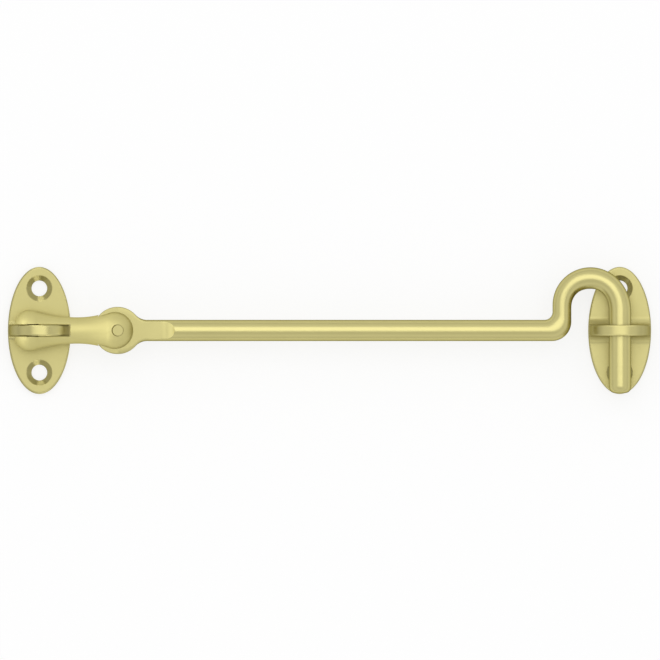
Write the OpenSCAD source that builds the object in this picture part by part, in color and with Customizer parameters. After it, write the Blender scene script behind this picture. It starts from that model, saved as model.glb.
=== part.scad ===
// Hook and eye latch in cast brass.
// The plates' back faces lie at z = 0, the hook runs along +X from the anchor plate to the eye plate,
// and the oval plates stand tall along Y. The origin is the centre of the anchor plate's back face.

/* [Plates] */
// Distance between the centres of the two plates, along the hook
plate_spacing = 203.2; // [150:0.1:260]
// Width of each oval plate, along the hook
plate_width = 22; // [21.6:0.1:24]
// Height of each oval plate, across the hook
plate_height = 44.5; // [42:0.1:56]
// Thickness of each plate
plate_thickness = 2.6; // [2.2:0.1:3]
// Radius of the rounding along a plate's front edge
plate_edge_radius = 0.7; // [0.3:0.1:1]
// Distance between the two screw holes of a plate
screw_spacing = 29.5; // [27:0.1:31]
// Diameter of the screw holes
screw_hole_diameter = 5.5; // [4:0.1:6]
// Depth of the countersinks, which have straight walls at 45 degrees
countersink_depth = 1.8; // [1:0.1:2]

/* [Lug and eye] */
// Height of the hook's axis above the mounting face
axis_height = 11; // [10.8:0.1:13]
// Thickness of the lug and of the eye, across the hook
web_thickness = 3.7; // [3:0.1:4]
// Radius of the round top of the lug and of the eye
web_radius = 10.7; // [10:0.1:10.8]
// Height of the round top above the hook's axis
web_rise = 7.7; // [7:0.1:8.5]
// Radius of the rounding along the edges of the lug and of the eye
web_edge_radius = 0.5; // [0.2:0.1:0.8]
// Radius of the fillets between the lug and the anchor plate
lug_fillet_radius = 1.4; // [0.6:0.1:1.8]
// Radius of the fillets between the eye and the eye plate
eye_fillet_radius = 3; // [0.6:0.1:3.6]
// Diameter of the eye's opening
eye_diameter = 10.4; // [9.6:0.1:10.8]

/* [Knuckle] */
// Distance from the middle of the anchor plate back to the lug pin
lug_pin_offset = 2.2; // [1.6:0.1:2.4]
// Distance between the lug pin and the rivet
knuckle_pitch = 29.8; // [29.2:0.1:36]
// Largest radius of the knuckle, round the lug pin
knuckle_head_radius = 7.35; // [7.2:0.05:7.5]
// Radius of the rounding of the knuckle's end at the lug pin
knuckle_end_radius = 5.6; // [4.5:0.1:6]
// Distance of the rounding's centre behind the lug pin
knuckle_end_offset = 0.7; // [0.4:0.1:1]
// Radius of the knuckle's waist
knuckle_waist_radius = 4.6; // [4.5:0.1:4.8]
// Distance of the waist from the lug pin
knuckle_waist_position = 15.6; // [15.4:0.1:16.4]
// Radius of the knuckle's round end at the rivet
knuckle_knob_radius = 6.8; // [6.4:0.1:7.2]
// Distance of the round end's centre from the rivet
knuckle_knob_offset = 1.1; // [0.8:0.1:1.6]
// Distance from the lug pin to the floor of the slot for the lug
lug_slot_depth = 13.35; // [13.2:0.05:14]
// Gap on each side of the lug in its slot
lug_side_gap = 0.4; // [0.2:0.05:0.5]

/* [Pins] */
// Diameter of the lug pin and of the rivet
pin_diameter = 4.2; // [3.6:0.1:4.6]
// Running clearance round the pins in the lug and in the hook's eye, on the radius
pin_clearance = 0.05; // [0.02:0.01:0.1]
// Chamfer on the ends of the pins
pin_chamfer = 0.3; // [0.1:0.05:0.4]
// Height of the lug pin's ends from the hook's axis
lug_pin_reach = 6.6; // [6.2:0.05:6.9]
// Height of the rivet's ends from the hook's axis
rivet_reach = 6.6; // [6.4:0.05:6.8]

/* [Hook] */
// Diameter of the shank
shank_diameter = 7.4; // [6.6:0.1:8]
// Radius of the flat eye at the rivet
tongue_radius = 8.2; // [7.6:0.1:8.8]
// Thickness of the flat eye
tongue_thickness = 4; // [3.6:0.1:4.4]
// Gap on each side of the flat eye in its slot
tongue_side_gap = 0.2; // [0.1:0.05:0.4]
// Gap between the flat eye's rim and the floor of its slot
tongue_end_gap = 0.4; // [0.3:0.05:0.6]
// Chamfer round the rim of the flat eye
tongue_chamfer = 0.3; // [0.1:0.1:0.6]
// Radius of the fillets between the flat eye and the neck
tongue_fillet_radius = 5; // [4:0.1:6]
// Distance from the rivet to the end of the flats
flat_length = 15.4; // [14:0.1:24]
// Radius of the run-out at the end of the flats
flat_runout_radius = 6.7; // [5:0.1:10]

/* [Gooseneck] */
// Diameter of the tip
tip_diameter = 7.8; // [7:0.1:8]
// How far the end of the tip stops short of the eye plate's lower end
tip_inset = 0.35; // [0.1:0.05:4]
// Radius of the rounding at the end of the tip
tip_end_radius = 1.3; // [1:0.1:3.2]
// Thickness of the riser
riser_thickness = 6.55; // [6:0.05:7.4]
// Distance between the riser and the tip, from axis to axis
gooseneck_span = 20.3; // [18:0.05:26]
// How far the top of the crown stops short of the eye plate's upper end
crown_inset = 0.15; // [0.1:0.05:3]
// Thickness of the crown at its top
crown_thickness = 7.55; // [6.8:0.05:8]
// Distance from the tip's axis back to the top of the crown
crown_setback = 10.3; // [9:0.1:11.5]
// Height above the hook's axis at which the riser runs into the crown
crown_start_height = 8.9; // [7:0.1:10]
// Height above the hook's axis at which the riser runs into the crown's hollow side
crown_hollow_start_height = 7.6; // [6.6:0.1:9]
// Height above the hook's axis at which the crown runs into the tip
crown_end_height = 6.6; // [5:0.1:9]
// Fullness of the crown's hollow side, from 2 for an oval to more for a squarer shape
crown_fullness = 2.3; // [2:0.1:2.8]
// Radius of the hollow side of the first bend
bend_inner_radius = 2.8; // [2:0.1:3.4]
// Radius of the outer side of the first bend
bend_outer_radius = 6.8; // [5:0.1:7]

/* [Hidden] */
$fn = 96;
plate_sides = 120;
plate_edge_steps = 5;
neck_sides = 32;
bend_steps = 14;
crown_steps = 34;
// Fullness of a true oval
oval_fullness = 2;
// Cuts run past the faces they open, and joined solids into each other, by this much
past = 1;
// The shank and the tip end this far short of the gooseneck's curves
short = 1.5 * past;
// The gooseneck's ends are this much thinner inside the shank and the tip
sunk = 0.03;
// The fillet of the flat eye crosses its rim by this much
crossing = 0.02;
// The arcs from the waist to the knuckle's two ends are flatter than tangent ones by this factor
flatter = 1.02;
brass = [0.83, 0.78, 0.53];
pin_brass = [0.80, 0.75, 0.50];

screw_hole_radius = screw_hole_diameter / 2;
web_half = web_thickness / 2;
web_centre_height = axis_height + web_rise - web_radius;
// The lug's and the eye's side walls stop this far inside the plate's outline
web_inset = plate_width / 2 - web_radius;

lug_pin_x = -lug_pin_offset;
rivet_x = lug_pin_x + knuckle_pitch;
pin_radius = pin_diameter / 2;
running_radius = pin_radius + pin_clearance;

waist_x = lug_pin_x + knuckle_waist_position;
knob_x = rivet_x - knuckle_knob_offset;
end_centre_radius = knuckle_head_radius - knuckle_end_radius;
end_centre_x = lug_pin_x - knuckle_end_offset;
head_run = waist_x - end_centre_x;
knob_run = knob_x - waist_x;
// The arcs from the waist run into the two round ends almost tangent
head_flare_radius = flatter * flare_radius(head_run, knuckle_end_radius, end_centre_radius);
knob_flare_radius = flatter * flare_radius(knob_run, knuckle_knob_radius, 0);
head_meet_x = end_centre_x + knuckle_end_radius * head_run / (head_flare_radius + knuckle_end_radius);
knob_meet_x = knob_x - knuckle_knob_radius * knob_run / (knob_flare_radius + knuckle_knob_radius);
lug_slot_width = web_thickness + 2 * lug_side_gap;
tongue_slot_width = tongue_thickness + 2 * tongue_side_gap;
tongue_slot_radius = tongue_radius + tongue_end_gap;

shank_radius = shank_diameter / 2;
tongue_half = tongue_thickness / 2;
// Half the width of the flats on the round neck
flat_half_width = sqrt(shank_radius * shank_radius - tongue_half * tongue_half);
// The web beside the neck ends just inside the flats' edges
web_end_half_width = flat_half_width - crossing;
fillet_y = web_end_half_width + tongue_fillet_radius;
fillet_reach = tongue_radius + tongue_fillet_radius - crossing;
fillet_x = sqrt(fillet_reach * fillet_reach - fillet_y * fillet_y);
flat_end_x = rivet_x + flat_length;

tip_x = plate_spacing;
tip_radius = tip_diameter / 2;
riser_x = tip_x - gooseneck_span;
riser_left = riser_x - riser_thickness / 2;
riser_right = riser_x + riser_thickness / 2;
tip_left = tip_x - tip_radius;
tip_right = tip_x + tip_radius;
bend_inner_x = riser_left - bend_inner_radius;
bend_inner_y = shank_radius + bend_inner_radius;
bend_outer_x = riser_right - bend_outer_radius;
bend_outer_y = bend_outer_radius - shank_radius;
tip_length = plate_height / 2 - tip_inset;
crown_x = tip_x - crown_setback;
crown_height = plate_height / 2 - crown_inset;
crown_hollow_height = crown_height - crown_thickness;

// Radius of an arc that leaves the waist and touches a round end, which lies the run away with its
// centre off the knuckle's axis
function flare_radius(run, radius, off_axis) =
    let (drop = knuckle_waist_radius - off_axis)
    (run * run + drop * drop - radius * radius) / (2 * (radius - drop));

function oval(width, height, sides) =
    [for (i = [0 : sides - 1]) [width / 2 * cos(360 * i / sides), height / 2 * sin(360 * i / sides)]];

// A point on a circle, at an angle counted from straight down towards +X
function swung(x, y, radius, angle) = [x + radius * sin(angle), y - radius * cos(angle)];

// A point on one side of the crown, at an angle counted from -X over the top
function arched(left, right, start_height, top, fullness, angle) =
    let (side = angle < 90 ? left : right, foot = angle < 90 ? start_height : crown_end_height)
    [crown_x + (side - crown_x) * pow(abs(cos(angle)), 2 / fullness),
    foot + (top - foot) * pow(sin(angle), 2 / fullness)];

// Eases from one value to another along a share from 0 to 1
function eased(a, b, share) = a + (b - a) * (1 - cos(180 * share)) / 2;

// Stations along the gooseneck: a point on the outer or upper side, the point across from it,
// and half the thickness out of the plane
function bend_stations() =
    [for (i = [0 : bend_steps]) let (share = i / bend_steps)
        [swung(bend_inner_x, bend_inner_y, bend_inner_radius, 90 * share),
        swung(bend_outer_x, bend_outer_y, bend_outer_radius, 90 * share),
        eased(shank_radius, riser_thickness / 2, share)]];

function crown_stations() =
    [for (i = [0 : crown_steps]) let (share = i / crown_steps)
        [arched(riser_left, tip_right, crown_start_height, crown_height, oval_fullness, 180 * share),
        arched(riser_right, tip_left, crown_hollow_start_height, crown_hollow_height, crown_fullness,
            180 * share),
        eased(riser_thickness / 2, tip_radius, share)]];

function shank_station(x) =
    [[x, shank_radius - sunk], [x, sunk - shank_radius], shank_radius - sunk];

function tip_station(y) = [[tip_right - sunk, y], [tip_left + sunk, y], tip_radius - sunk];

function neck_stations() = concat(
    [shank_station(bend_inner_x - 2 * past)],
    [shank_station(bend_inner_x - past)],
    bend_stations(),
    crown_stations(),
    [tip_station(crown_end_height - past)],
    [tip_station(crown_end_height - 2 * past)]);

// An oval ring of points between the two sides of a station
function ring(station) =
    let (middle = (station[0] + station[1]) / 2, half = (station[0] - station[1]) / 2)
    [for (i = [0 : neck_sides - 1]) let (angle = 360 * i / neck_sides)
        [middle[0] + half[0] * cos(angle), middle[1] + half[1] * cos(angle), station[2] * sin(angle)]];

module loft(stations) {
    rings = len(stations);
    points = [for (station = stations) each ring(station)];
    sides = [for (j = [0 : rings - 2]) for (i = [0 : neck_sides - 1])
        let (next = (i + 1) % neck_sides, low = j * neck_sides, high = low + neck_sides)
        each [[low + i, high + i, low + next], [low + next, high + i, high + next]]];
    first = [for (i = [0 : neck_sides - 1]) i];
    last = [for (i = [neck_sides - 1 : -1 : 0]) (rings - 1) * neck_sides + i];
    polyhedron(points, concat(sides, [first, last]), convexity = 6);
}

// Oval plate with a rounded front edge, drawn at the origin
module plate_body() {
    hull() {
        linear_extrude(plate_thickness - plate_edge_radius)
            polygon(oval(plate_width, plate_height, plate_sides));
        for (i = [1 : plate_edge_steps]) {
            angle = 90 * i / plate_edge_steps;
            inset = plate_edge_radius * (1 - cos(angle));
            top = plate_thickness - plate_edge_radius * (1 - sin(angle));
            linear_extrude(top)
                polygon(oval(plate_width - 2 * inset, plate_height - 2 * inset, plate_sides));
        }
    }
}

module screw_hole() {
    translate([0, 0, -past])
        cylinder(r = screw_hole_radius, h = plate_thickness + 2 * past);
    translate([0, 0, plate_thickness - countersink_depth])
        cylinder(r1 = screw_hole_radius, r2 = screw_hole_radius + countersink_depth + past,
            h = countersink_depth + past);
}

module screw_holes() {
    for (side = [-1, 1])
        translate([0, side * screw_spacing / 2, 0])
            screw_hole();
}

// Half of a round-topped web, as an outline to turn about its centre
module web_outline() {
    translate([0, -web_half])
        square([web_radius - web_edge_radius, web_thickness]);
    translate([0, web_edge_radius - web_half])
        square([web_radius, web_thickness - 2 * web_edge_radius]);
    for (side = [-1, 1])
        translate([web_radius - web_edge_radius, side * (web_half - web_edge_radius)])
            circle(r = web_edge_radius);
}

// Round-topped web that stands across a plate, with rounded edges
module web() {
    translate([0, 0, web_centre_height])
        rotate([90, 0, 0])
            rotate_extrude(angle = 180)
                web_outline();
    translate([0, 0, plate_thickness / 2])
        linear_extrude(web_centre_height - plate_thickness / 2) {
            web_outline();
            mirror([1, 0])
                web_outline();
        }
}

// Hollow fillets along both faces of a web, which end above the plate's edge
module web_fillets(radius) {
    intersection() {
        for (side = [0, 1])
            mirror([0, side, 0])
                rotate([90, 0, 90])
                    translate([web_half, plate_thickness, -web_radius])
                        linear_extrude(2 * web_radius)
                            difference() {
                                translate([-web_edge_radius, -plate_edge_radius])
                                    square([radius + web_edge_radius, radius + plate_edge_radius]);
                                translate([radius, radius])
                                    circle(r = radius);
                            }
        linear_extrude(axis_height)
            polygon(oval(plate_width - 2 * web_inset, plate_height - 2 * web_inset, plate_sides));
    }
}

// Bar across the hook, centred on the hook's axis
module cross_bar(radius, length) {
    rotate([90, 0, 0])
        cylinder(r = radius, h = length, center = true);
}

module anchor_plate() {
    color(brass)
        difference() {
            union() {
                plate_body();
                web();
                web_fillets(lug_fillet_radius);
            }
            screw_holes();
            translate([lug_pin_x, 0, axis_height])
                cross_bar(running_radius, web_thickness + 2 * past);
        }
}

module eye_plate() {
    color(brass)
        translate([plate_spacing, 0, 0])
            difference() {
                union() {
                    plate_body();
                    web();
                    web_fillets(eye_fillet_radius);
                }
                screw_holes();
                translate([0, 0, axis_height])
                    cross_bar(eye_diameter / 2, web_thickness + 2 * eye_fillet_radius + 2 * past);
            }
}

// Round pin along Z with chamfered ends
module pin(reach) {
    for (side = [0, 1])
        mirror([0, 0, side]) {
            cylinder(r = pin_radius, h = reach - pin_chamfer);
            translate([0, 0, reach - pin_chamfer])
                cylinder(r1 = pin_radius, r2 = pin_radius - pin_chamfer, h = pin_chamfer);
        }
}

// Bore through the knuckle for a pin along Z
module pin_bore() {
    cylinder(r = pin_radius, h = 4 * knuckle_head_radius, center = true);
}

module lug_pin() {
    color(pin_brass)
        translate([lug_pin_x, 0, axis_height])
            rotate([90, 0, 0])
                pin(lug_pin_reach);
}

module knuckle_rivet() {
    color(pin_brass)
        translate([rivet_x, 0, axis_height])
            pin(rivet_reach);
}

// Half outline of the knuckle, with its radius along X and its length along Y
module knuckle_outline() {
    intersection() {
        translate([end_centre_radius, end_centre_x])
            circle(r = knuckle_end_radius);
        translate([end_centre_radius, end_centre_x - 2 * knuckle_end_radius])
            square([2 * knuckle_end_radius, 4 * knuckle_end_radius]);
    }
    translate([0, end_centre_x - knuckle_end_radius])
        square([end_centre_radius, knuckle_end_radius + head_run]);
    difference() {
        translate([0, head_meet_x])
            square([knuckle_head_radius, waist_x - head_meet_x]);
        translate([knuckle_waist_radius + head_flare_radius, waist_x])
            circle(r = head_flare_radius);
    }
    difference() {
        translate([0, waist_x])
            square([knuckle_knob_radius, knob_meet_x - waist_x]);
        translate([knuckle_waist_radius + knob_flare_radius, waist_x])
            circle(r = knob_flare_radius);
    }
    intersection() {
        translate([0, knob_x])
            circle(r = knuckle_knob_radius);
        translate([0, knob_x - 2 * knuckle_knob_radius])
            square([2 * knuckle_knob_radius, 4 * knuckle_knob_radius]);
    }
}

// Slot for the lug, open to the knuckle's end, drawn about the lug pin
module lug_slot() {
    room = 2 * knuckle_head_radius;
    translate([-room, -lug_slot_width / 2, -room])
        cube([room + lug_slot_depth, lug_slot_width, 2 * room]);
}

// Slot for the flat eye, open to the knuckle's end and with a round floor, drawn about the rivet
module tongue_slot() {
    cylinder(r = tongue_slot_radius, h = tongue_slot_width, center = true);
    translate([0, -knuckle_knob_radius - past, -tongue_slot_width / 2])
        cube([knuckle_pitch, 2 * (knuckle_knob_radius + past), tongue_slot_width]);
}

module knuckle() {
    color(brass)
        translate([0, 0, axis_height])
            difference() {
                rotate([0, 90, 0])
                    rotate_extrude()
                        knuckle_outline();
                translate([lug_pin_x, 0, 0])
                    lug_slot();
                translate([lug_pin_x, 0, 0])
                    rotate([90, 0, 0])
                        pin_bore();
                translate([rivet_x, 0, 0]) {
                    tongue_slot();
                    pin_bore();
                }
            }
}

// Flat round eye with chamfered rims, drawn about the rivet
module tongue_disc() {
    for (side = [0, 1])
        mirror([0, 0, side]) {
            cylinder(r = tongue_radius, h = tongue_half - tongue_chamfer);
            translate([0, 0, tongue_half - tongue_chamfer])
                cylinder(r1 = tongue_radius, r2 = tongue_radius - tongue_chamfer, h = tongue_chamfer);
        }
}

// Web with hollow sides that leads from the flat eye into the neck
module tongue_web() {
    root = tongue_radius / fillet_reach;
    linear_extrude(tongue_thickness, center = true)
        difference() {
            polygon([[0, -web_end_half_width], [fillet_x * root, -fillet_y * root],
                [fillet_x, -web_end_half_width], [fillet_x, web_end_half_width],
                [fillet_x * root, fillet_y * root], [0, web_end_half_width]]);
            for (side = [-1, 1])
                translate([fillet_x, side * fillet_y])
                    circle(r = tongue_fillet_radius);
        }
}

// Round shank from the flat eye to the gooseneck, flattened at its start
module shank() {
    neck_x = rivet_x + pin_radius + 2 * past;
    difference() {
        translate([neck_x, 0, 0])
            rotate([0, 90, 0])
                cylinder(r = shank_radius, h = bend_inner_x - short - neck_x);
        for (side = [0, 1])
            mirror([0, 0, side]) {
                translate([neck_x - past, -shank_diameter, tongue_half])
                    cube([flat_end_x - neck_x + past, 2 * shank_diameter, shank_diameter]);
                translate([flat_end_x, 0, tongue_half + flat_runout_radius])
                    cross_bar(flat_runout_radius, 2 * shank_diameter);
            }
    }
}

// Straight tip with a rounded end, along -Y from the crown
module tip() {
    length = crown_end_height + tip_length;
    translate([tip_x, -tip_length, 0])
        rotate([-90, 0, 0])
            rotate_extrude() {
                translate([0, tip_end_radius])
                    square([tip_radius, length - tip_end_radius - short]);
                square([tip_radius - tip_end_radius, tip_end_radius]);
                intersection() {
                    translate([tip_radius - tip_end_radius, tip_end_radius])
                        circle(r = tip_end_radius);
                    translate([tip_radius - tip_end_radius, 0])
                        square(tip_end_radius);
                }
            }
}

module hook() {
    color(brass)
        translate([0, 0, axis_height])
            difference() {
                union() {
                    translate([rivet_x, 0, 0]) {
                        tongue_disc();
                        tongue_web();
                    }
                    shank();
                    loft(neck_stations());
                    tip();
                }
                translate([rivet_x, 0, 0])
                    cylinder(r = running_radius, h = tongue_thickness + 2 * past, center = true);
            }
}

anchor_plate();
lug_pin();
knuckle();
knuckle_rivet();
hook();
eye_plate();
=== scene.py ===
import math
from collections import namedtuple

import bpy
import bmesh
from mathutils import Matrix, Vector

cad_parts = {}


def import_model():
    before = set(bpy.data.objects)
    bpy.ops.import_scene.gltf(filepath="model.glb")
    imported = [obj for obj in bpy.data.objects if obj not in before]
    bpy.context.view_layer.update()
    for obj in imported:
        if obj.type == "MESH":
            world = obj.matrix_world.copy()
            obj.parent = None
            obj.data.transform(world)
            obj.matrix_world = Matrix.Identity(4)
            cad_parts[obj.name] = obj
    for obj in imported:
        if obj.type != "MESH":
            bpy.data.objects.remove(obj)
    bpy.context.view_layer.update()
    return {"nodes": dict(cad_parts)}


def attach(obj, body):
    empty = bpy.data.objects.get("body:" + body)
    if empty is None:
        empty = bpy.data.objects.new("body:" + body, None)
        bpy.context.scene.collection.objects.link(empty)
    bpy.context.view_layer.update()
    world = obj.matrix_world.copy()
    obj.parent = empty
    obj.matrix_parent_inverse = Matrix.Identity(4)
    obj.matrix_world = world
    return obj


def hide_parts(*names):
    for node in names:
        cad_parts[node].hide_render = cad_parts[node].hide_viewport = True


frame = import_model()

MM = 0.001
scene = bpy.context.scene
scene.view_settings.view_transform = "Standard"

# Sizes in millimetres, as in the solid model
AXIS_HEIGHT = 11.0
PLATE_HALF_HEIGHT = 22.25
PLATE_TOP = 2.6
SCREW_Y = 14.75
RIVET_X = 27.6
PIN_BORE_RADIUS = 2.15
SHANK_RADIUS = 3.7
TONGUE_HALF = 2.0
FLAT_LENGTH = 15.4
FLAT_RUNOUT = 6.7
TIP_X = 203.2
TIP_RADIUS = 3.9
TIP_INSET = 0.35
RISER_HALF = 3.275
RISER_TO_TIP = 20.3
CROWN_TO_TIP = 10.3
CROWN_INSET = 0.15
CROWN_THICKNESS = 7.55
CROWN_START = 8.9
CROWN_HOLLOW_START = 7.6
CROWN_END = 6.6
BEND_INNER = 2.8
BEND_OUTER = 6.8

# Finish of the hook in millimetres, a little finer or fuller than the solid model's
TONGUE_RADIUS = 8.25
TONGUE_REAR = 8.5
TONGUE_EDGE = 0.3
TONGUE_FILLET = 5.5
TONGUE_SIDE_RADIUS = 50.0
SIDE_ROUNDING_START = 5.0
FLAT_EDGE = 0.12
TIP_ROUNDING = 2.6
TIP_FLAT = 1.5

# Fullness of the curves, where 2 is an ellipse
CROWN_FULLNESS = 2.0
HOLLOW_FULLNESS = 2.3
TIP_FULLNESS = 2.4

# Places that follow from the sizes above
FILLET_Y = SHANK_RADIUS + TONGUE_FILLET
FILLET_RUN = math.sqrt((TONGUE_RADIUS + TONGUE_FILLET) ** 2 - FILLET_Y**2)
RIM_RUN = FILLET_RUN * TONGUE_RADIUS / (TONGUE_RADIUS + TONGUE_FILLET)
RUNOUT_LENGTH = math.sqrt(FLAT_RUNOUT**2 - (FLAT_RUNOUT - SHANK_RADIUS + TONGUE_HALF) ** 2)
FLAT_END_X = RIVET_X + FLAT_LENGTH
SHANK_START_X = FLAT_END_X + RUNOUT_LENGTH
TIP_END = TIP_INSET - PLATE_HALF_HEIGHT
TIP_LEFT = TIP_X - TIP_RADIUS
TIP_RIGHT = TIP_X + TIP_RADIUS
RISER_X = TIP_X - RISER_TO_TIP
RISER_LEFT = RISER_X - RISER_HALF
RISER_RIGHT = RISER_X + RISER_HALF
CROWN_X = TIP_X - CROWN_TO_TIP
CROWN_TOP = PLATE_HALF_HEIGHT - CROWN_INSET
CROWN_HOLLOW = CROWN_TOP - CROWN_THICKNESS

# Steps round one ring of the hook's mesh
SIDE_STEPS = 18
CORNER_STEPS = 3
FLAT_STEPS = 5
BORE_SEGMENTS = 96

# Rings along each stretch of the hook's mesh
REAR_RINGS = 26
NECK_RINGS = 44
FLAT_RINGS = 6
RUNOUT_RINGS = 28
SHANK_RINGS = 24
BEND_RINGS = 30
CROWN_RINGS = 84
TIP_RINGS = 10
DOME_RINGS = 14

# Limits of the stretches: the first ring's angle from the rear, and lengths in millimetres
REAR_START = 0.03
NECK_END = 10.5
SHANK_LEAD = 1.0

# Limits for joining points, in metres, and for sharp edges and ground faces
WELD = 2e-7
SHARP_ANGLE = math.radians(40)
GROUND_NORMAL = 0.7
ROUND_MARGIN = 0.04

# Colours of the brass, and the tint of its reflections at grazing angles
BRASS = (0.60, 0.545, 0.235)
SATIN = (0.505, 0.458, 0.197)
EDGE_TINT = (1.0, 0.92, 0.65)
TONE_SPREAD = 0.03
SATIN_ROUGHNESS = 0.38
POLISH_SPREAD = 0.03

# Painted shade and painted highlight on the plates by height, in millimetres: darker on the plates' sides,
# fillets and the middle height of the lug and eye, lighter at their top
PLATE_PAINTED_SHADING = [
    (0.0, 0.84),
    (2.45, 0.84),
    (2.58, 1.0),
    (2.605, 1.0),
    (2.65, 0.95),
    (3.0, 0.88),
    (3.6, 0.9),
    (6.0, 1.05),
    (10.5, 0.9),
    (14.0, 0.8),
    (17.5, 1.04),
    (18.8, 1.1),
]
# Painted highlight on the hook's ground flats along their length, in millimetres, brightest at the
# run-out's end
RUNOUT_PAINTED_HIGHLIGHT = [(38.0, 0.98), (43.0, 1.03), (44.6, 1.34), (45.5, 1.66), (46.5, 1.78), (47.5, 1.8)]

# Where a plate's polish changes, in millimetres, and by how much
FILLET_DULL_TOP = 3.2
FILLET_DULLNESS = 0.2
WEB_START = 4.5
WEB_FULL = 8.0
SHOULDER_START = 5.0
SHOULDER_FULL = 9.0
SINK_RADIUS = 4.5
SINK_FADE_RADIUS = 4.8
SINK_TURNING = 0.9

# Painted shade in the knuckle's recesses: its reach in millimetres, and how far closed in they are
CORNER_REACH = 4.0
CORNER_CLOSED = 0.3
CORNER_OPEN = 0.9

# The studio: lengths in metres, and levels of light
MIDDLE = (0.1016, 0.0, 0.01)
FLOOR_HALF = 4.0
FLOOR_SEGMENTS = 8
FLOOR_DROP = 0.0002
PAPER = 0.96
PAPER_ROUGHNESS = 0.9
PAPER_GLOW = 0.75
SKY = [(0.0, 0.6), (0.09, 0.68), (0.33, 0.88), (0.53, 0.95), (0.71, 0.83), (0.85, 0.73), (1.0, 0.7)]
LAMP_DISTANCE = 0.6
KEY_DISTANCE = 4.0
CAMERA_DISTANCE = 8.0
CAMERA_TARGET = (0.10178, 0.000165, 0.005)
VIEW_WIDTH = 0.231
SENSOR_WIDTH = 36.0

# A plate's own finish: X of its holes, roughness of its lug or eye, extra roughness of the lug's shoulder
Plate = namedtuple("Plate", "holes_x web shoulder")


def grey(level):
    return (level, level, level, 1.0)


def scaled(colour, factor):
    return [factor * c for c in colour]


def node(tree, kind, **values):
    """New node, with values for its inputs or its own settings."""
    made = tree.nodes.new(kind)
    for name, value in values.items():
        if name in made.inputs:
            made.inputs[name].default_value = value
        else:
            setattr(made, name, value)
    return made


def maths(tree, operation, a, b=None, clamp=False):
    """One arithmetic node, fed by sockets or plain numbers."""
    made = node(tree, "ShaderNodeMath", operation=operation, use_clamp=clamp)
    for socket, value in zip(made.inputs, (a, b)):
        if isinstance(value, (int, float)):
            socket.default_value = value
        elif value is not None:
            tree.links.new(value, socket)
    return made.outputs[0]


def spread_to(tree, value, low, high, to_low, to_high):
    """Value that goes from to_low to to_high while the input goes from low to high."""
    made = node(tree, "ShaderNodeMapRange")
    tree.links.new(value, made.inputs["Value"])
    for name, level in zip(("From Min", "From Max", "To Min", "To Max"), (low, high, to_low, to_high)):
        made.inputs[name].default_value = level
    return made.outputs["Result"]


def set_stops(ramp, stops):
    """Grey stops of (position, level) on a colour ramp."""
    elements = ramp.color_ramp.elements
    while len(elements) < len(stops):
        elements.new(0.5)
    for element, (at, level) in zip(elements, stops):
        element.position = at
        element.color = grey(level)


def stepped(tree, value, stops):
    """Grey level that follows stops of (millimetres, level)."""
    low, high = stops[0][0], stops[-1][0]
    share = spread_to(tree, value, low * MM, high * MM, 0.0, 1.0)
    ramp = node(tree, "ShaderNodeValToRGB")
    set_stops(ramp, [((at - low) / (high - low), level) for at, level in stops])
    tree.links.new(share, ramp.inputs["Fac"])
    return ramp.outputs["Color"]


def times(tree, colour, factor):
    made = node(tree, "ShaderNodeMix", data_type="RGBA", blend_type="MULTIPLY")
    made.inputs["Factor"].default_value = 1.0
    tree.links.new(colour, made.inputs["A"])
    tree.links.new(factor, made.inputs["B"])
    return made.outputs["Result"]


def noise(tree, place, scale, detail, roughness):
    made = node(tree, "ShaderNodeTexNoise", Scale=scale, Detail=detail, Roughness=roughness)
    tree.links.new(place, made.inputs["Vector"])
    return made.outputs["Fac"]


def patchy(tree, place, colour):
    """The colour with faint changes of tone over the surface."""
    made = node(tree, "ShaderNodeMix", data_type="RGBA")
    made.inputs["A"].default_value = (*scaled(colour, 1.0 - TONE_SPREAD), 1.0)
    made.inputs["B"].default_value = (*scaled(colour, 1.0 + TONE_SPREAD), 1.0)
    tone = noise(tree, place, scale=90.0, detail=3.0, roughness=0.5)
    tree.links.new(tone, made.inputs["Factor"])
    return made.outputs["Result"]


def painted_hollow_shade(tree, tone):
    """Painted shade: a factor that goes down to a tone where the surface is closed in by itself."""
    made = node(tree, "ShaderNodeAmbientOcclusion", samples=12, only_local=True, Distance=CORNER_REACH * MM)
    return spread_to(tree, made.outputs["AO"], CORNER_CLOSED, CORNER_OPEN, tone, 1.0)


def uneven(tree, place, roughness):
    """The roughness with small changes of polish over the surface."""
    rub = noise(tree, place, scale=260.0, detail=4.0, roughness=0.6)
    return spread_to(tree, rub, 0.0, 1.0, roughness - POLISH_SPREAD, roughness + POLISH_SPREAD)


def cast_polish(tree, axes, polish, roughness, plate):
    """A plate's roughness: dull fillets, and a lug or eye with a polish of its own."""
    dull = spread_to(tree, axes["Z"], PLATE_TOP * MM, FILLET_DULL_TOP * MM, 0.0, FILLET_DULLNESS)
    polish = maths(tree, "ADD", polish, dull)
    raised = spread_to(tree, axes["Z"], WEB_START * MM, WEB_FULL * MM, 0.0, 1.0)
    shoulder = spread_to(tree, axes["X"], SHOULDER_START * MM, SHOULDER_FULL * MM, 0.0, plate.shoulder)
    change = maths(tree, "ADD", shoulder, plate.web - roughness - FILLET_DULLNESS)
    return maths(tree, "ADD", polish, maths(tree, "MULTIPLY", raised, change))


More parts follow.
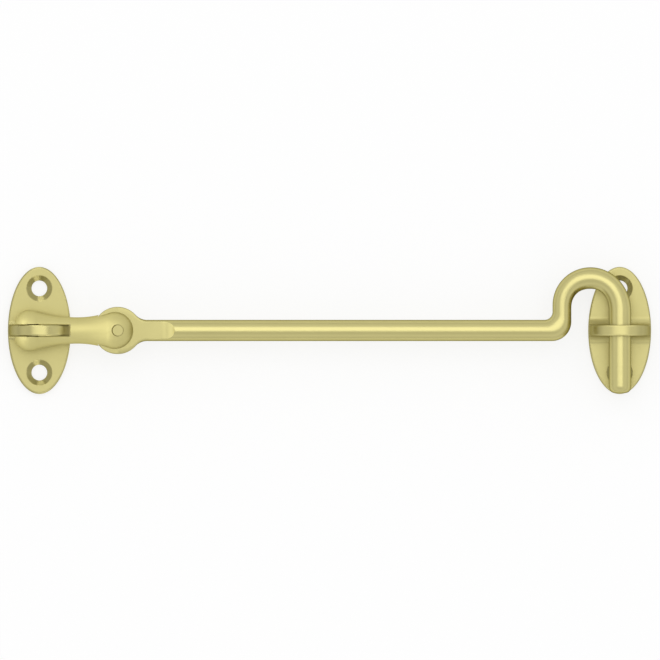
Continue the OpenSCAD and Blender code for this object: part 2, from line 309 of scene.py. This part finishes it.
def turned_sinks(tree, axes, shader, holes_x):
    """Turning marks round the two screw holes of a plate, which stretch the glints along the cone."""
    across = maths(tree, "SUBTRACT", axes["X"], holes_x * MM)
    along = maths(tree, "SUBTRACT", maths(tree, "ABSOLUTE", axes["Y"]), SCREW_Y * MM)
    squares = maths(tree, "ADD", maths(tree, "POWER", across, 2.0), maths(tree, "POWER", along, 2.0))
    reach = maths(tree, "SQRT", squares)
    marks = spread_to(tree, reach, SINK_RADIUS * MM, SINK_FADE_RADIUS * MM, SINK_TURNING, 0.0)
    tree.links.new(marks, shader.inputs["Anisotropic"])
    outward = node(tree, "ShaderNodeCombineXYZ")
    tree.links.new(across, outward.inputs["X"])
    tree.links.new(maths(tree, "MULTIPLY", along, maths(tree, "SIGN", axes["Y"])), outward.inputs["Y"])
    tree.links.new(outward.outputs[0], shader.inputs["Tangent"])


def grained(tree, place, soft_edge):
    """Normals with a fine grain, and with edges rounded by soft_edge millimetres."""
    grain = noise(tree, place, scale=2600.0, detail=2.0, roughness=0.5)
    bump = node(tree, "ShaderNodeBump", Strength=0.04, Distance=0.05 * MM)
    tree.links.new(grain, bump.inputs["Height"])
    if soft_edge:
        soft = node(tree, "ShaderNodeBevel", samples=6, Radius=soft_edge * MM)
        tree.links.new(soft.outputs["Normal"], bump.inputs["Normal"])
    return bump.outputs["Normal"]


def brass(
    name,
    colour,
    roughness,
    grazing,
    soft_edge=0.0,
    recess_shade=None,
    heights=None,
    lengths=None,
    plate=None,
):
    """Brass with faint tone changes, uneven polish and fine grain.

    grazing is the strength of the edge tint and soft_edge the rounding of the edges in millimetres. The
    tone for recesses paints shade into them, and heights and lengths are stops of painted shade and painted
    highlight along Z and X.
    """
    material = bpy.data.materials.new(name)
    material.use_nodes = True
    tree = material.node_tree
    shader = tree.nodes["Principled BSDF"]
    shader.inputs["Metallic"].default_value = 1.0
    shader.inputs["Specular Tint"].default_value = (*scaled(EDGE_TINT, grazing), 1.0)
    place = node(tree, "ShaderNodeTexCoord").outputs["Object"]
    separate = node(tree, "ShaderNodeSeparateXYZ")
    tree.links.new(place, separate.inputs[0])
    axes = separate.outputs

    shade = patchy(tree, place, colour)
    # Painted shade in recesses
    if recess_shade:
        shade = times(tree, shade, painted_hollow_shade(tree, recess_shade))
    # Painted shade and painted highlight by height
    if heights:
        shade = times(tree, shade, stepped(tree, axes["Z"], heights))
    # Painted tone along X, a highlight on the hook's run-out
    if lengths:
        shade = times(tree, shade, stepped(tree, axes["X"], lengths))
    tree.links.new(shade, shader.inputs["Base Color"])

    polish = uneven(tree, place, roughness)
    if plate:
        polish = cast_polish(tree, axes, polish, roughness, plate)
        turned_sinks(tree, axes, shader, plate.holes_x)
    tree.links.new(polish, shader.inputs["Roughness"])
    tree.links.new(grained(tree, place, soft_edge), shader.inputs["Normal"])
    return material


def dress(name, material):
    part = frame["nodes"][name]
    part.data.materials.clear()
    part.data.materials.append(material)


def dress_parts():
    """Gives every CAD node that stays its brass."""
    satin = brass(
        "plate_brass",
        SATIN,
        roughness=SATIN_ROUGHNESS,
        grazing=0.4,
        soft_edge=0.2,
        heights=PLATE_PAINTED_SHADING,
        plate=Plate(holes_x=0.0, web=0.28, shoulder=0.2),
    )
    # Painted light: the eye plate's brass is a lighter copy of the plates' satin, to lift the shade that
    # the hook's tip and crown put on it
    satin_eye_painted_lighter = brass(
        "eye_plate_brass_painted_lighter",
        scaled(SATIN, 1.06),
        roughness=SATIN_ROUGHNESS,
        grazing=0.4,
        soft_edge=0.2,
        heights=PLATE_PAINTED_SHADING,
        plate=Plate(holes_x=TIP_X, web=0.35, shoulder=0.0),
    )
    polished = brass(
        "knuckle_brass", scaled(BRASS, 1.1), roughness=0.55, grazing=0.3, soft_edge=0.2, recess_shade=0.8
    )
    peened = brass("pin_brass", SATIN, roughness=0.42, grazing=0.4, soft_edge=0.1)
    dress("anchor_plate", satin)
    dress("eye_plate", satin_eye_painted_lighter)
    dress("knuckle", polished)
    dress("lug_pin", peened)
    dress("knuckle_rivet", peened)


def eased(a, b, share):
    return a + (b - a) * (1 - math.cos(math.pi * share)) / 2


def spaced(a, b, steps):
    return [a + (b - a) * i / steps for i in range(steps + 1)]


def tongue_width(run):
    """Half width of the flat eye and its neck, at a distance from the rivet."""
    if run < RIM_RUN:
        radius = TONGUE_RADIUS + (TONGUE_REAR - TONGUE_RADIUS) * max(0.0, -run) / TONGUE_REAR
        return math.sqrt(radius**2 - run**2)
    if run < FILLET_RUN:
        return FILLET_Y - math.sqrt(TONGUE_FILLET**2 - (FILLET_RUN - run) ** 2)
    return SHANK_RADIUS


def tongue_thickness(run):
    """Half thickness of the flat eye and its neck: rounded at the rear, and growing along the run-out."""
    thick = TONGUE_HALF
    past_end = run + TONGUE_REAR
    if past_end < TONGUE_EDGE:
        thick -= TONGUE_EDGE - math.sqrt(TONGUE_EDGE**2 - (TONGUE_EDGE - past_end) ** 2)
    if run > FLAT_LENGTH:
        thick += FLAT_RUNOUT - math.sqrt(FLAT_RUNOUT**2 - (run - FLAT_LENGTH) ** 2)
    return thick


def tongue_section(run):
    """Half width, half thickness, radius of the side and radius of the edges of the flat eye and neck."""
    width = tongue_width(run)
    share = min(1.0, max(0.0, (run - SIDE_ROUNDING_START) / (FILLET_RUN - SIDE_ROUNDING_START)))
    share = share * share * (3 - 2 * share)
    flat_bend = 1.0 / TONGUE_SIDE_RADIUS
    side = 1.0 / (flat_bend + (1.0 / SHANK_RADIUS - flat_bend) * share)
    edge = eased(TONGUE_EDGE, FLAT_EDGE, share)
    return width, tongue_thickness(run), side, min(edge, 0.5 * width)


def tongue_ring(run):
    """Ring of the flat eye and neck: round sides, rounded edges and two flats."""
    width, thick, side, edge = tongue_section(run)
    centre = width - side
    corner_y = centre + math.sqrt(max(0.0, (side - edge) ** 2 - (thick - edge) ** 2))
    turn = math.atan2(thick - edge, corner_y - centre)
    quarter = [(centre + side * math.cos(a), side * math.sin(a)) for a in spaced(0, turn, SIDE_STEPS)]
    for a in spaced(turn, math.pi / 2, CORNER_STEPS)[1:]:
        quarter.append((corner_y + edge * math.cos(a), thick - edge + edge * math.sin(a)))
    for y in spaced(corner_y, 0.0, FLAT_STEPS)[1:]:
        quarter.append((y, thick))
    back = quarter[-2::-1]
    ring = quarter + [(-y, z) for y, z in back] + [(-y, -z) for y, z in quarter[1:]]
    ring += [(y, -z) for y, z in back[:-1]]
    return [(RIVET_X + run, y, z) for y, z in ring]


def tongue_rings():
    """Rings of the flat eye, its neck and the run-out of its flats."""
    runs = [-TONGUE_REAR * math.cos(a) for a in spaced(REAR_START, math.pi / 2, REAR_RINGS)]
    runs += spaced(0.0, NECK_END, NECK_RINGS)[1:]
    runs += spaced(NECK_END, FLAT_LENGTH, FLAT_RINGS)[1:]
    for a in spaced(0.0, math.pi / 2, RUNOUT_RINGS)[1:]:
        runs.append(FLAT_LENGTH + RUNOUT_LENGTH * math.sin(a))
    return [tongue_ring(run) for run in runs]


def oval_ring(outer, inner, half):
    """Oval ring between two points of the hook's outline, half a thickness up and down."""
    middle = [(a + b) / 2 for a, b in zip(outer, inner)]
    reach = [(a - b) / 2 for a, b in zip(outer, inner)]
    ring = []
    for i in range(4 * SIDE_STEPS):
        angle = math.pi / 2 * i / SIDE_STEPS
        c, s = math.cos(angle), math.sin(angle)
        ring.append((middle[0] + reach[0] * c, middle[1] + reach[1] * c, half * s))
    return ring


def shank_rings():
    end = RISER_LEFT - BEND_INNER - SHANK_LEAD
    places = spaced(SHANK_START_X, end, SHANK_RINGS)
    return [oval_ring((x, SHANK_RADIUS), (x, -SHANK_RADIUS), SHANK_RADIUS) for x in places]


def bend_rings():
    """Rings of the bend up to the riser, whose two sides turn on centres of their own."""
    inner_x, inner_y = RISER_LEFT - BEND_INNER, SHANK_RADIUS + BEND_INNER
    outer_x, outer_y = RISER_RIGHT - BEND_OUTER, BEND_OUTER - SHANK_RADIUS
    rings = []
    for share in spaced(0.0, 1.0, BEND_RINGS):
        c, s = math.cos(math.pi / 2 * share), math.sin(math.pi / 2 * share)
        inner = (inner_x + BEND_INNER * s, inner_y - BEND_INNER * c)
        outer = (outer_x + BEND_OUTER * s, outer_y - BEND_OUTER * c)
        rings.append(oval_ring(inner, outer, eased(SHANK_RADIUS, RISER_HALF, share)))
    return rings


def arched(left, right, start, top, fullness, angle):
    """Point on one side of the crown, from the riser over the top to the tip."""
    side, foot = (left, start) if angle < math.pi / 2 else (right, CROWN_END)
    c, s = abs(math.cos(angle)), abs(math.sin(angle))
    x = CROWN_X + (side - CROWN_X) * c ** (2 / fullness)
    y = foot + (top - foot) * s ** (2 / fullness)
    return x, y


def crown_rings():
    rings = []
    for share in spaced(0.0, 1.0, CROWN_RINGS):
        angle = math.pi * share
        outer = arched(RISER_LEFT, TIP_RIGHT, CROWN_START, CROWN_TOP, CROWN_FULLNESS, angle)
        inner = arched(RISER_RIGHT, TIP_LEFT, CROWN_HOLLOW_START, CROWN_HOLLOW, HOLLOW_FULLNESS, angle)
        rings.append(oval_ring(outer, inner, eased(RISER_HALF, TIP_RADIUS, share)))
    return rings


def tip_rings():
    """Rings of the straight tip and its domed end."""
    low = TIP_END + TIP_ROUNDING
    rings = []
    for y in spaced(CROWN_END, low, TIP_RINGS)[1:]:
        rings.append(oval_ring((TIP_RIGHT, y), (TIP_LEFT, y), TIP_RADIUS))
    for a in spaced(0.0, math.pi / 2, DOME_RINGS)[1:]:
        radius = TIP_FLAT + (TIP_RADIUS - TIP_FLAT) * max(0.0, math.cos(a)) ** (2 / TIP_FULLNESS)
        y = low - TIP_ROUNDING * math.sin(a) ** (2 / TIP_FULLNESS)
        rings.append(oval_ring((TIP_X + radius, y), (TIP_X - radius, y), radius))
    return rings


def skin(bm, rings):
    """Faces between each ring and the next, at the hook's height."""
    rows = []
    for ring in rings:
        rows.append([bm.verts.new((x * MM, y * MM, (z + AXIS_HEIGHT) * MM)) for x, y, z in ring])
    for low, high in zip(rows, rows[1:]):
        count = len(low)
        for i in range(count):
            j = (i + 1) % count
            bm.faces.new((low[i], low[j], high[j], high[i]))
    return rows


def placed(name, mesh):
    made = bpy.data.objects.new(name, mesh)
    scene.collection.objects.link(made)
    return made


def bar():
    """The hook's bar as one closed mesh, still without its bore."""
    mesh = bpy.data.meshes.new("hook_bar")
    bm = bmesh.new()
    rows = skin(bm, tongue_rings())
    bm.faces.new(rows[0])
    rows = skin(bm, shank_rings() + bend_rings() + crown_rings() + tip_rings())
    bm.faces.new(rows[-1])
    bmesh.ops.remove_doubles(bm, verts=bm.verts, dist=WELD)
    bmesh.ops.recalc_face_normals(bm, faces=bm.faces)
    bm.to_mesh(mesh)
    bm.free()
    return placed("hook_bar", mesh)


def bore_cutter():
    """Cylinder that cuts the rivet's bore."""
    mesh = bpy.data.meshes.new("bore")
    bm = bmesh.new()
    bmesh.ops.create_cone(
        bm,
        cap_ends=True,
        segments=BORE_SEGMENTS,
        radius1=PIN_BORE_RADIUS * MM,
        radius2=PIN_BORE_RADIUS * MM,
        depth=4 * TONGUE_HALF * MM,
    )
    bmesh.ops.translate(bm, verts=bm.verts, vec=(RIVET_X * MM, 0.0, AXIS_HEIGHT * MM))
    bm.to_mesh(mesh)
    bm.free()
    return placed("bore", mesh)


def cut(made, cutter):
    """Cuts one mesh object out of another and leaves the result as plain mesh data."""
    modifier = made.modifiers.new("cut", "BOOLEAN")
    modifier.operation = "DIFFERENCE"
    modifier.solver = "EXACT"
    modifier.object = cutter
    bpy.context.view_layer.update()
    result = bpy.data.meshes.new_from_object(made.evaluated_get(bpy.context.evaluated_depsgraph_get()))
    made.modifiers.clear()
    old = made.data
    made.data = result
    bpy.data.meshes.remove(old)
    bpy.data.objects.remove(cutter)


def smooth(mesh):
    """Shades a mesh smooth but for its sharp edges."""
    bm = bmesh.new()
    bm.from_mesh(mesh)
    bmesh.ops.recalc_face_normals(bm, faces=bm.faces)
    for face in bm.faces:
        face.smooth = True
    for edge in bm.edges:
        edge.smooth = len(edge.link_faces) != 2 or edge.calc_face_angle() < SHARP_ANGLE
    bm.to_mesh(mesh)
    bm.free()


def finish_bar(mesh):
    """Drawn brass all over, and ground brass on the two flats and their run-out, with a painted highlight
    towards the run-out's end.
    """
    mesh.materials.clear()
    drawn = brass("hook_brass", BRASS, roughness=0.3, grazing=0.2)
    ground = brass("hook_flat_brass_painted_highlight", SATIN, roughness=SATIN_ROUGHNESS, grazing=0.2, lengths=RUNOUT_PAINTED_HIGHLIGHT)
    mesh.materials.append(drawn)
    mesh.materials.append(ground)
    inside = (SHANK_RADIUS - ROUND_MARGIN) * MM
    for face in mesh.polygons:
        if face.center.x < SHANK_START_X * MM and abs(face.normal.z) > GROUND_NORMAL:
            from_axis = math.hypot(face.center.y, face.center.z - AXIS_HEIGHT * MM)
            if from_axis < inside or face.center.x < FLAT_END_X * MM:
                face.material_index = 1


def hook():
    made = bar()
    cut(made, bore_cutter())
    made.data.name = "hook_bar"
    smooth(made.data)
    finish_bar(made.data)
    weighted = made.modifiers.new("weighted", "WEIGHTED_NORMAL")
    weighted.keep_sharp = True
    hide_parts("hook")
    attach(made, "bar")


def paper():
    """Matt white paper that shows white to the camera and in reflections, and keeps part of the shadow."""
    material = bpy.data.materials.new("floor_paper")
    material.use_nodes = True
    tree = material.node_tree
    shader = tree.nodes["Principled BSDF"]
    shader.inputs["Base Color"].default_value = grey(PAPER)
    shader.inputs["Roughness"].default_value = PAPER_ROUGHNESS
    shader.inputs["Specular IOR Level"].default_value = 0.0
    rays = node(tree, "ShaderNodeLightPath").outputs
    seen = maths(tree, "ADD", rays["Is Camera Ray"], rays["Is Glossy Ray"])
    seen = maths(tree, "ADD", seen, rays["Is Transmission Ray"], clamp=True)
    white = node(tree, "ShaderNodeEmission", Color=grey(1.0), Strength=1.0)
    mixed = node(tree, "ShaderNodeMixShader")
    tree.links.new(maths(tree, "MULTIPLY", seen, PAPER_GLOW), mixed.inputs[0])
    tree.links.new(shader.outputs[0], mixed.inputs[1])
    tree.links.new(white.outputs[0], mixed.inputs[2])
    tree.links.new(mixed.outputs[0], tree.nodes["Material Output"].inputs["Surface"])
    return material


def floor():
    mesh = bpy.data.meshes.new("floor")
    bm = bmesh.new()
    bmesh.ops.create_grid(bm, x_segments=FLOOR_SEGMENTS, y_segments=FLOOR_SEGMENTS, size=FLOOR_HALF)
    bm.to_mesh(mesh)
    bm.free()
    mesh.materials.append(paper())
    made = placed("floor", mesh)
    made.location = (MIDDLE[0], MIDDLE[1], -FLOOR_DROP)


def world():
    """Soft studio light that changes with the height above the horizon."""
    made = bpy.data.worlds.new("studio")
    scene.world = made
    made.use_nodes = True
    tree = made.node_tree
    background = tree.nodes["Background"]
    place = node(tree, "ShaderNodeTexCoord")
    axes = node(tree, "ShaderNodeSeparateXYZ")
    tree.links.new(place.outputs["Generated"], axes.inputs[0])
    ramp = node(tree, "ShaderNodeValToRGB")
    ramp.color_ramp.interpolation = "EASE"
    set_stops(ramp, SKY)
    tree.links.new(axes.outputs["Z"], ramp.inputs["Fac"])
    tree.links.new(ramp.outputs["Color"], background.inputs["Color"])
    background.inputs["Strength"].default_value = 1.0


def gathered(name, parts):
    """Collection of CAD nodes that a lamp is linked to."""
    made = bpy.data.collections.new(name)
    for part in parts:
        made.objects.link(frame["nodes"][part])
    return made


def softbox(name, target, way, size, radiance, distance=LAMP_DISTANCE, lit=None, stopped_by=None):
    """Soft lamp that looks back at a target from a distance along a direction.

    A lamp that lights some parts only is stopped by the same parts, unless others are named.
    """
    light = bpy.data.lights.new(name, "AREA")
    light.shape = "RECTANGLE"
    light.size, light.size_y = size
    light.energy = radiance * math.pi * size[0] * size[1]
    made = placed(name, light)
    way = Vector(way).normalized()
    made.location = Vector(target) + way * distance
    made.rotation_euler = way.to_track_quat("Z", "Y").to_euler()
    made.visible_camera = False
    if lit:
        made.light_linking.receiver_collection = gathered(name + "_lit", lit)
        made.light_linking.blocker_collection = gathered(name + "_stops", stopped_by or lit)


def sink_strips():
    """Two low strips that glint in the anchor plate's countersinks.

    Only the rivet stops their light, and it stands clear of the holes, so nothing shades the countersinks.
    """
    holes = (0.0, 0.0, 0.002)
    for name, azimuth in (("upper_strip", 98.0), ("lower_strip", -76.0)):
        turn = math.radians(azimuth)
        softbox(
            name,
            holes,
            way=(math.cos(turn), math.sin(turn), 0.2),
            size=(0.34, 0.22),
            radiance=3.0,
            lit=["anchor_plate"],
            stopped_by=["knuckle_rivet"],
        )


def lamps():
    """One key lamp for all, and smaller lamps that light one part each."""
    head = (0.0, 0.0, AXIS_HEIGHT * MM)
    slot = (0.009, 0.0, AXIS_HEIGHT * MM)
    eye = (TIP_X * MM, 0.0, 0.004)
    softbox("key", MIDDLE, way=(0.0524, 0.2773, 1.0), size=(4.3, 3.3), radiance=0.98, distance=KEY_DISTANCE)
    softbox("left_strip", head, way=(-1.88, 0.0, 1.0), size=(1.4, 0.16), radiance=3.1, lit=["knuckle"])
    softbox("slot_fill", slot, way=(1.0, 0.0, -0.45), size=(0.5, 0.6), radiance=4.0, lit=["anchor_plate"])
    softbox("eye_upper", eye, way=(0.0, 1.0, 0.2), size=(1.2, 0.45), radiance=0.95, lit=["eye_plate"])
    softbox("eye_lower", eye, way=(0.0, -1.0, 0.6), size=(1.2, 0.75), radiance=0.42, lit=["eye_plate"])
    sink_strips()


def camera():
    """Long lens that looks straight down at the plates."""
    data = bpy.data.cameras.new("camera")
    data.sensor_width = SENSOR_WIDTH
    data.lens = SENSOR_WIDTH * CAMERA_DISTANCE / VIEW_WIDTH
    data.clip_start = 0.1
    data.clip_end = 30.0
    made = placed("camera", data)
    made.location = Vector(CAMERA_TARGET) + Vector((0.0, 0.0, CAMERA_DISTANCE))
    scene.camera = made


dress_parts()
hook()
floor()
world()
lamps()
camera()
